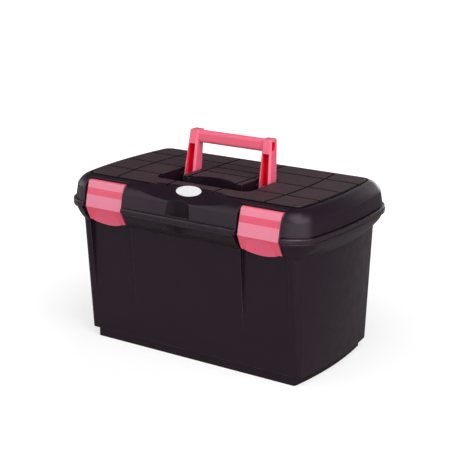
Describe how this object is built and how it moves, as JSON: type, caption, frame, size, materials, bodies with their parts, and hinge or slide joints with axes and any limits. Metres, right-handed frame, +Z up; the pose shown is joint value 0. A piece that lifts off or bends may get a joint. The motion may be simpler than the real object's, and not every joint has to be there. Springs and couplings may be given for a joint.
{
  "type": "horse grooming box",
  "caption": "Moulded carrying box for horse grooming kit, with a hinged tiled lid, front latches, a fold-down carrying handle and a lift-out tray.",
  "frame": {"origin": "middle of the flat foot of the tub, on the surface that it stands on", "axes": "+X along the box to its right end, +Y from the latches to the hinges, +Z up"},
  "size_m": [0.396, 0.2493, 0.2902],
  "materials": {
    "charcoal_polypropylene": "satin moulded polypropylene with a fine grain",
    "pink_polypropylene": "satin moulded polypropylene",
    "tray_polypropylene": "matt moulded polypropylene",
    "white_badge": "glossy bare oval",
    "steel_pin": "drawn steel rod"
  },
  "bodies": {
    "box_tub": {"tub": "charcoal_polypropylene", "lift_out_tray": "tray_polypropylene", "left_hinge_pin": "steel_pin", "right_hinge_pin": "steel_pin"},
    "box_lid": {"lid": "charcoal_polypropylene", "badge": "white_badge", "left_latch_pin": "steel_pin", "right_latch_pin": "steel_pin", "left_handle_pin": "steel_pin", "right_handle_pin": "steel_pin"},
    "latch_left": {"left_latch": "pink_polypropylene"},
    "latch_right": {"right_latch": "pink_polypropylene"},
    "carry_handle": {"left_handle_leg": "pink_polypropylene", "right_handle_leg": "pink_polypropylene", "handle_grip": "pink_polypropylene"}
  },
  "joints": [
    {"name": "lid_hinge", "type": "hinge", "parent": "box_tub", "child": "box_lid", "pos_m": [0, 0.1252, 0.197], "axis": [-1, 0, 0], "range_deg": [0, 105]},
    {"name": "left_latch_pivot", "type": "hinge", "parent": "box_lid", "child": "latch_left", "pos_m": [-0.1216, -0.1024, 0.2259], "axis": [-1, 0, 0], "range_deg": [0, 90]},
    {"name": "right_latch_pivot", "type": "hinge", "parent": "box_lid", "child": "latch_right", "pos_m": [0.1216, -0.1024, 0.2259], "axis": [-1, 0, 0], "range_deg": [0, 90]},
    {"name": "handle_fold", "type": "hinge", "parent": "box_lid", "child": "carry_handle", "pos_m": [0, 0.0028, 0.2265], "axis": [1, 0, 0], "range_deg": [0, 98]}
  ]
}
